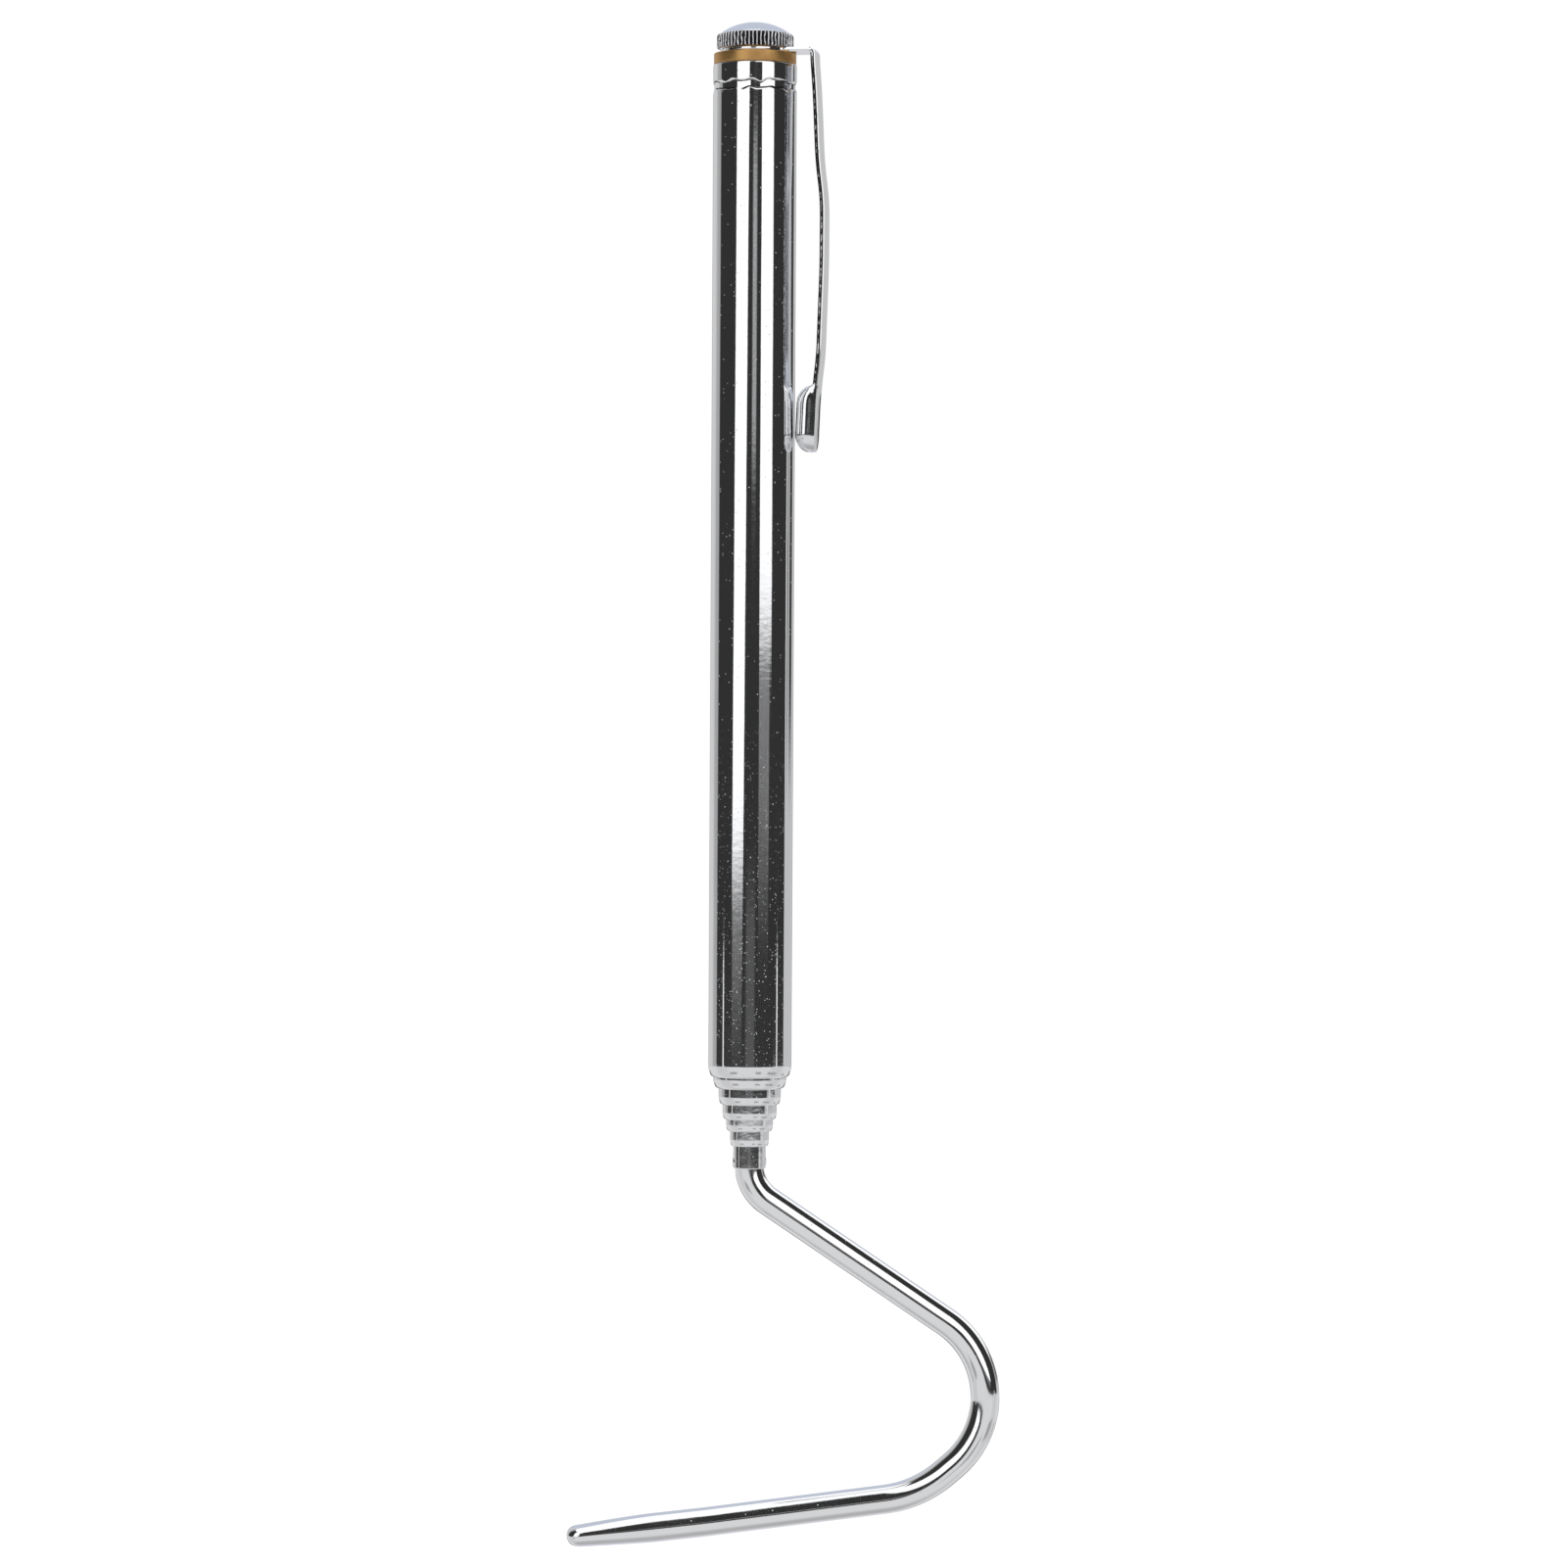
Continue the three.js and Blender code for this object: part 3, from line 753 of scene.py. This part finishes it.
def make_end_plug():
    """Turned plug: the flange shows as a ring, the body is hidden in the handle, with a waist
    for the crimp."""
    body, skirt_bore, bore, flange = 4.6 * MM, 3.6 * MM, 1.62 * MM, high("end_plug").x
    waist, chamfer = body - 0.3 * MM, 0.25 * MM
    skirt, ledge = low("end_plug").z, 51 * MM
    outline = [
        (skirt_bore, skirt),
        (body, skirt),
        (body, CRIMP_LEVEL - 1.35 * MM),
        (waist, CRIMP_LEVEL - 1.15 * MM),
        (waist, CRIMP_LEVEL + 1.15 * MM),
        (body, CRIMP_LEVEL + 1.35 * MM),
        (body, FLANGE_BOTTOM),
        (flange, FLANGE_BOTTOM),
        (flange, FLANGE_TOP),
        (bore + chamfer, FLANGE_TOP),
        (bore, FLANGE_TOP - chamfer),
        (bore, ledge),
        (skirt_bore, ledge),
    ]
    plug = revolve("end_plug_turned", rounded(outline, 0.14 * MM, 4), 240)
    stand_for(plug, "end_plug")


def cap_rows():
    """The cap's outline, as radius, height and how deep the knurl cuts there, from 0 to 1."""
    hole, chamfer, ease = 1.53 * MM, 0.2 * MM, 0.12 * MM
    hole_top = CAP_BOTTOM + 1.52 * MM
    rim_top = CAP_BOTTOM + 1.7 * MM
    knurl_top = rim_top - 0.36 * MM
    dome_radius, rise = 4.32 * MM, CAP_APEX - rim_top
    sphere = (dome_radius**2 + rise**2) / (2 * rise)
    sweep = math.asin(dome_radius / sphere)
    under = [(0, hole_top), (hole, hole_top), (hole, CAP_BOTTOM + chamfer),
             (hole + chamfer, CAP_BOTTOM), (CAP_RADIUS - 0.45 * MM, CAP_BOTTOM)]
    foot = quarter(CAP_RADIUS - ease, CAP_BOTTOM, CAP_RADIUS, CAP_BOTTOM + ease, 4)
    side = [(CAP_RADIUS, lerp(CAP_BOTTOM + ease, knurl_top, i / 9)) for i in range(1, 9)]
    shoulder = quarter(dome_radius - 0.02 * MM, rim_top + 0.02 * MM, CAP_RADIUS, knurl_top, 8)
    rows = [(r, z, 0) for r, z in under] + [(r, z, 1) for r, z in foot + side]
    for r, z in reversed(shoulder):
        rows.append((r, z, smoothstep(-0.06 * MM, 0.1 * MM, r - dome_radius)))
    steps = 22
    for i in range(1, steps):
        angle = sweep * (1 - i / steps)
        rows.append((sphere * math.sin(angle), CAP_APEX - sphere * (1 - math.cos(angle)), 0))
    return rows + [(0, CAP_APEX, 0)]


def make_knurled_cap():
    """Straight knurl, a little uneven, that runs out over the shoulder under a polished dome."""
    teeth, samples = 60, 14
    depth = 0.25 * MM
    rows = cap_rows()
    dice = random.Random(5)
    drift = [(dice.uniform(-0.22, 0.22), dice.uniform(0, TAU)) for _ in range(teeth)]
    floor = [dice.uniform(0.72, 1.0) for _ in range(teeth)]
    groove_shade_and_grease = []

    def knurled(index, angle, radius, height):
        turn = angle * teeth / TAU
        swing, start = drift[int(turn) % teeth]
        weave = swing * math.sin(start + 4.5 * (height - CAP_BOTTOM) / MM)
        from_groove = abs((turn + 0.5) % 1 - 0.5 + weave * (1 - abs(2 * (turn % 1) - 1)))
        valley = (0.5 + 0.5 * math.cos(TAU * min(from_groove, 0.5))) ** 1.15
        cut = rows[index][2]
        # How dark each point is painted: painted shade and grease deep in the knurl's grooves
        groove_shade_and_grease.append(cut * smoothstep(0.08, 0.75, valley))
        return radius - depth * cut * valley * floor[round(turn) % teeth], height

    outline = [(radius, height) for radius, height, _ in rows]
    cap = revolve("knurled_cap_plated", outline, teeth * samples, knurled, 60)
    note_painted_dark(cap, groove_shade_and_grease)
    stand_for(cap, "knurled_cap")


def make_cap_stud():
    """M3 thread of 0.5 mm pitch, run out at both ends."""
    pitch, sides, run_out = 0.5 * MM, 48, 0.45 * MM
    crest, root = high("cap_stud").x, high("cap_stud").x - 0.27 * MM
    face = root - 0.1 * MM
    bottom, top = low("cap_stud").z, high("cap_stud").z
    step = pitch / 16
    count = int((top - bottom) / step)
    outline = [(0, bottom), (face, bottom)]
    outline += [(root, bottom + step * (i + 1)) for i in range(count - 1)]
    outline += [(face, top), (0, top)]

    def threaded(index, angle, radius, height):
        if index in (1, len(outline) - 2):
            return radius, height
        cone = face + min(height - bottom, top - height, run_out)
        phase = ((height - bottom) / pitch - angle / TAU) % 1
        flank = 1 - abs(2 * phase - 1)
        ridge = root + (crest - root) * smoothstep(0.06, 0.94, flank)
        return min(ridge, cone), height

    stud = revolve("cap_stud_threaded", outline, sides, threaded, 60)
    note_unbent(stud, [Vector(v.co) for v in stud.data.vertices])
    stand_for(stud, "cap_stud")


def note_unbent(obj, places):
    """Stores where each point lies on the straight bar, for the grain of the metal."""
    layer = obj.data.attributes.new("unbent", "FLOAT_VECTOR", "POINT")
    layer.data.foreach_set("vector", [c for place in places for c in place])


# ---- Pocket clip ----


def arc_line(points, corner):
    """Points along a polyline whose inner corners are rounded: start, corners, end."""
    line = [Vector(points[0])]
    for before, here, after in zip(points, points[1:], points[2:]):
        before, here, after = Vector(before), Vector(here), Vector(after)
        cut = min(corner, 0.45 * (before - here).length, 0.45 * (after - here).length)
        start = here + (before - here).normalized() * cut
        end = here + (after - here).normalized() * cut
        for step in range(9):
            t = step / 8
            line.append(start * (1 - t) ** 2 + here * (2 * t * (1 - t)) + end * t**2)
    line.append(Vector(points[-1]))
    return line


def resample(line, spacing):
    """The same line with even steps of about spacing."""
    lengths = [0]
    for a, b in zip(line, line[1:]):
        lengths.append(lengths[-1] + (b - a).length)
    count = max(1, round(lengths[-1] / spacing))
    result, index = [], 0
    for i in range(count + 1):
        target = lengths[-1] * i / count
        while index < len(line) - 2 and lengths[index + 1] < target:
            index += 1
        span = lengths[index + 1] - lengths[index]
        t = (target - lengths[index]) / span if span else 0
        result.append(line[index].lerp(line[index + 1], clamp(t)))
    return result


CLIP_SHEET = 0.55 * MM
CLIP_HALF = 1.95 * MM
EYELET_RADIUS = 3.95 * MM
SHEET_LEVEL = (low("clip_eyelet").z + high("clip_eyelet").z) / 2
# Middle of the arm's sheet: distance from the axis and height in mm, from the corner to the tip
ARM_LINE = [(7.31, 61.0), (7.62, 56.8), (7.96, 49.0), (8.56, 44.4), (8.54, 36.5), (8.19, 26.0),
            (7.84, 22.9), (7.62, 20.5), (7.38, 14.4)]
SPOON_TOP = 22.4 * MM
SPOON_END = 14.35 * MM
SPOON_DEPTH = 2.05 * MM
# Sheared edge of the sheet, from its outer face to its inner one: inset in mm on the arm, inset
# in mm on the pressed tip, level between the faces, and how dark its painted reflection line is
EDGE = [(0.076, 0.052, 0.98, 0), (0.016, 0.041, 0.58, 0.25), (0, 0.025, -0.03, 1),
        (0.013, 0.016, -0.36, 0.6), (0.075, 0, -0.98, 1)]
# Half of the clip's section from near its edge to its middle: place across on the flat arm, then
# place across and share of the full depth in the pressed tip, whose side bulges a little
HALF_SECTION = [(0.88, 1.02, 0.13), (0.8, 1.045, 0.26), (0.71, 1.045, 0.37), (0.61, 1.01, 0.48),
                (0.5, 0.95, 0.6), (0.39, 0.86, 0.71), (0.27, 0.72, 0.82), (0.14, 0.46, 0.94),
                (0, 0, 1)]
SECTION = [(-flat, -across, depth) for flat, across, depth in HALF_SECTION]
SECTION += HALF_SECTION[-2::-1]
OUTER_DEPTH = 0.12  # how deep the outer face is pressed, as a share of the inner one


def sheet_width(reach, height):
    """Half-width of the clip at a distance from the axis (on the eyelet) or a height (below)."""
    if height > SHEET_LEVEL - 0.3 * MM:
        disc = math.sqrt(max(EYELET_RADIUS**2 - reach**2, 0))
        return max(disc, CLIP_HALF if reach > 0 else 0)
    taper = lerp(CLIP_HALF, 1.85 * MM, smoothstep(30 * MM, 20 * MM, height))
    nose = 2.0 * MM
    rounding = max((SPOON_END + nose - height) / nose, 0)
    return taper * math.sqrt(max(1 - rounding**2, 0.0004))


def dish(height):
    """How far the spoon at the clip's tip is pressed in at a height, from 0 to 1. It is full soon
    below its top and slopes away slowly towards the tip."""
    slope = 2.3 * MM
    upper = clamp((SPOON_TOP - height) / slope)
    lower = clamp((height - SPOON_END + 0.05 * MM) / slope)
    return math.sqrt(1 - (1 - upper) ** 2.4) * math.sqrt(1 - (1 - lower) ** 2.2)


def clip_line():
    """Middle of the sheet, as distance from the axis and height: from the eyelet's far side over
    the tab and the corner to the tip."""
    inset = 0.01 * MM  # keeps the first row on the eyelet's far side from closing to a point
    line = []
    for i in range(24):
        reach = inset - EYELET_RADIUS * math.cos(math.pi / 48 * i)
        line.append(Vector((reach, SHEET_LEVEL)))
    arm = [(r * MM, z * MM) for r, z in ARM_LINE]
    bend = arc_line([(EYELET_RADIUS, SHEET_LEVEL), (7.28 * MM, SHEET_LEVEL), arm[0]], 0.62 * MM)
    line += resample([Vector((0, SHEET_LEVEL)), bend[0]], 0.3 * MM)
    line += bend[1:] + resample(arc_line(arm, 2.2 * MM), 0.35 * MM)[1:]
    spaced = [line[0]]
    for place in line[1:]:
        if (place - spaced[-1]).length > 0.02 * MM:
            spaced.append(place)
    # The last rows lie closer and closer, for the round end of the tip
    stretch = 0.3 * MM
    line = [place for place in spaced if place.y > SPOON_END + stretch]
    reach = line[-1].x
    line += [Vector((reach, SPOON_END + stretch * (1 - i / 6) ** 2)) for i in range(1, 6)]
    return line


def clip_ring(place):
    """The sheet's section at a place on its middle line, round the outer face, an edge, the inner
    face and the other edge: place across, level, depth pressed in and how dark the painted
    reflection lines on the edge are."""
    width = sheet_width(place.x, place.y)
    shrink = min(1, width / CLIP_HALF)
    half = CLIP_SHEET / 2
    pressed = dish(place.y)
    full = pressed * SPOON_DEPTH
    # Painted dark reflection lines run down the arm's edges, fainter low down, none on the eyelet,
    # tab or tip
    edge_line_share = smoothstep(SHEET_LEVEL - 0.4 * MM, SHEET_LEVEL - 1.2 * MM, place.y)
    edge_line_share *= lerp(0.75, 1, smoothstep(39 * MM, 44 * MM, place.y)) * (1 - pressed)
    outer, inner, edge = [], [], []
    for flat, across, depth in SECTION:
        outer.append((flat * width, half, OUTER_DEPTH * depth * full, 0))
        inner.append((lerp(flat, across, pressed) * width, -half, depth * full, 0))
    for inset, tip_inset, level, dark in EDGE:
        lateral = width - lerp(inset, tip_inset, pressed) * MM * shrink
        edge.append((lateral, level * half, 0, dark * edge_line_share))
    far_edge = [(-lateral, *rest) for lateral, *rest in edge]
    return outer + edge + inner[::-1] + far_edge[::-1]


def make_clip():
    """One bent sheet: eyelet, tab, corner, arm and spoon-shaped tip, lofted as one mesh."""
    line = clip_line()
    points, faces, edge_line_darks = [], [], []
    for before, place, after in zip([line[0], *line], line, [*line[1:], line[-1]]):
        along = (after - before).normalized()
        outward = Vector((-along.y, along.x))
        for lateral, level, depth, dark in clip_ring(place):
            flat = place + outward * level - Vector((depth, 0))
            points.append(CLIP_OUT * flat.x + CLIP_ACROSS * lateral + Vector((0, 0, flat.y)))
            edge_line_darks.append(dark)
    count = 2 * (len(SECTION) + len(EDGE))
    for i in range(len(line) - 1):
        faces += ring_faces(i * count, (i + 1) * count, count)
    faces.append(tuple(reversed(range(count))))
    faces.append(tuple(range((len(line) - 1) * count, len(line) * count)))
    clip = build("pocket_clip", points, faces, 40)
    sharpen_edge(clip, count)
    cut_eyelet_hole(clip)
    # Stores the painted dark reflection lines on the clip's edge
    note_edge_lines(clip, points, edge_line_darks)
    clip.data.materials.append(MATERIALS["clip_steel"])
    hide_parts("clip_eyelet", "clip_arm")
    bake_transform(clip)


def sharpen_edge(clip, count):
    """Keeps the lengthwise lines of the sheared edge sharp, in a loft of rings of count points."""
    for line in clip.data.edges:
        first, second = (index % count for index in line.vertices)
        if first == second and first % (count // 2) >= len(SECTION):
            line.use_edge_sharp = True


def cut_eyelet_hole(clip):
    bore, below, above = 1.7 * MM, SHEET_LEVEL - MM, SHEET_LEVEL + MM
    cutter = revolve("eyelet_cutter", [(0, below), (bore, below), (bore, above), (0, above)], 96)
    for obj in (clip, cutter):
        face_outwards(obj)
    cut = clip.modifiers.new("hole", "BOOLEAN")
    cut.operation, cut.solver, cut.object = "DIFFERENCE", "EXACT", cutter
    apply_modifiers(clip)
    bpy.data.objects.remove(cutter)


def note_edge_lines(clip, points, edge_line_darks):
    """Gives each of the clip's points the painted edge darkness of the point that lies there in the
    lofted sheet, and none to the points of the cut hole."""
    places = KDTree(len(points))
    for i, point in enumerate(points):
        places.insert(point, i)
    places.balance()
    layer = clip.data.attributes.new("painted_dark_and_grease", "FLOAT", "POINT")
    for vertex in clip.data.vertices:
        _, nearest, distance = places.find(vertex.co)
        layer.data[vertex.index].value = edge_line_darks[nearest] if distance < 0.001 * MM else 0


def face_outwards(obj):
    work = bmesh.new()
    work.from_mesh(obj.data)
    bmesh.ops.recalc_face_normals(work, faces=work.faces)
    work.to_mesh(obj.data)
    work.free()


def apply_modifiers(obj):
    depsgraph = bpy.context.evaluated_depsgraph_get()
    result = bpy.data.meshes.new_from_object(obj.evaluated_get(depsgraph))
    obj.modifiers.clear()
    obj.data = result


# ---- Hook ----

ROD_RADIUS = 1.75 * MM
ROD_TOP = high("hook_rod").z
BEND_START = -71.5 * MM
# Bends (degrees, radius in mm) and straights (length in mm) from the ferrule to the tip
HOOK_PATH = [("bend", 56, 5.2), ("straight", 25.9), ("bend", -105.3, 11), ("straight", 1.4),
             ("bend", -33.2, 13.8), ("straight", 22), ("bend", -1.8, 192)]
TIP_LENGTH = 10.6 * MM


def hook_line():
    """Centre line of the rod as (x, z) points, with the heading at its end."""
    line = [Vector((0, ROD_TOP)), Vector((0, BEND_START))]
    heading = -math.pi / 2
    for kind, amount, *radius in HOOK_PATH:
        if kind == "bend":
            steps = math.ceil(abs(amount) / 2)
            turn = math.radians(amount) / steps
            chord = 2 * radius[0] * MM * math.sin(abs(turn) / 2)
        else:
            steps = max(1, round(amount / 1.5))
            turn, chord = 0, amount * MM / steps
        for _ in range(steps):
            heading += turn / 2
            line.append(line[-1] + chord * Vector((math.cos(heading), math.sin(heading))))
            heading += turn / 2
    return line, heading


def tip_rows():
    """Distance along the tip, with the scale of the rod's width, upper side and lower side."""
    rows, nose = [], 1.7 * MM
    tapered = TIP_LENGTH - nose
    for i in range(1, 19):
        taper = (i / 18) ** 1.35
        rows.append((tapered * i / 18, 1, 1 - 0.32 * taper, 1 - 0.16 * taper))
    scales = rows[-1][1:]
    for i in range(1, 12):
        a = math.pi / 2 * i / 12
        blunt = math.cos(a) ** 0.75
        rows.append((tapered + nose * math.sin(a), *(blunt * scale for scale in scales)))
    return rows


def rod_stations():
    """Stations along the rod, its rear end chamfered: centre, heading, radius, distance, and the
    scale of its width, upper side and lower side. The last one is the tip itself."""
    line, heading = hook_line()
    stations = []
    travelled = 0
    for before, place, after in zip([line[0], *line], line, [*line[1:], line[-1]]):
        along = ((place - before).normalized() + (after - place).normalized()).normalized()
        travelled += (place - before).length
        stations.append((place, along, ROD_RADIUS, travelled, 1, 1, 1))
    chamfer = 0.2 * MM
    rear, along = stations[0][:2]
    stations[:1] = [
        (rear, along, ROD_RADIUS - chamfer, 0, 1, 1, 1),
        (rear - Vector((0, chamfer)), along, ROD_RADIUS, chamfer, 1, 1, 1),
    ]
    ahead = Vector((math.cos(heading), math.sin(heading)))
    for s, *scales in [*tip_rows(), (TIP_LENGTH, 0, 0, 0)]:
        stations.append((line[-1] + ahead * s, ahead, ROD_RADIUS, travelled + s, *scales))
    return stations


def make_hook_rod():
    """The bent rod, swept along its centre line in the XZ plane."""
    sides = 64
    *stations, tip = rod_stations()
    points, faces, unbent = [], [], []
    for place, along, radius, distance, wide, upper, lower in stations:
        normal = Vector((along.y, -along.x))  # towards the upper side on the last straight
        for i in range(sides):
            angle = TAU * i / sides
            raised = radius * math.cos(angle)
            raised *= upper if raised > 0 else lower
            across = wide * radius * math.sin(angle)
            flat = place + normal * raised
            points.append((flat.x, across, flat.y))
            unbent.append((raised, across, distance))
    for i in range(len(stations) - 1):
        faces += ring_faces(i * sides, (i + 1) * sides, sides)
    for end, distance in ((stations[0][0], 0), (tip[0], tip[3])):
        points.append((end.x, 0, end.y))
        unbent.append((0, 0, distance))
    last = (len(stations) - 1) * sides
    rear_point, tip_point = len(points) - 2, len(points) - 1
    faces += [(rear_point, (i + 1) % sides, i) for i in range(sides)]
    faces += [(last + i, last + (i + 1) % sides, tip_point) for i in range(sides)]
    rod = build("hook_rod_plated", points, faces)
    note_unbent(rod, unbent)
    stand_for(rod, "hook_rod")


# ---- Assembly ----

make_camera()
make_world()
make_floor()
make_handle_tube()
make_end_plug()
make_clip()
make_cap_stud()
make_knurled_cap()
for stage in range(1, STAGES + 1):
    make_stage_tube(stage)
    make_stop_bush(stage)
    make_friction_spring(stage)
make_hook_rod()
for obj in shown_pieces():
    if not obj.get("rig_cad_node"):
        face_outwards(obj)
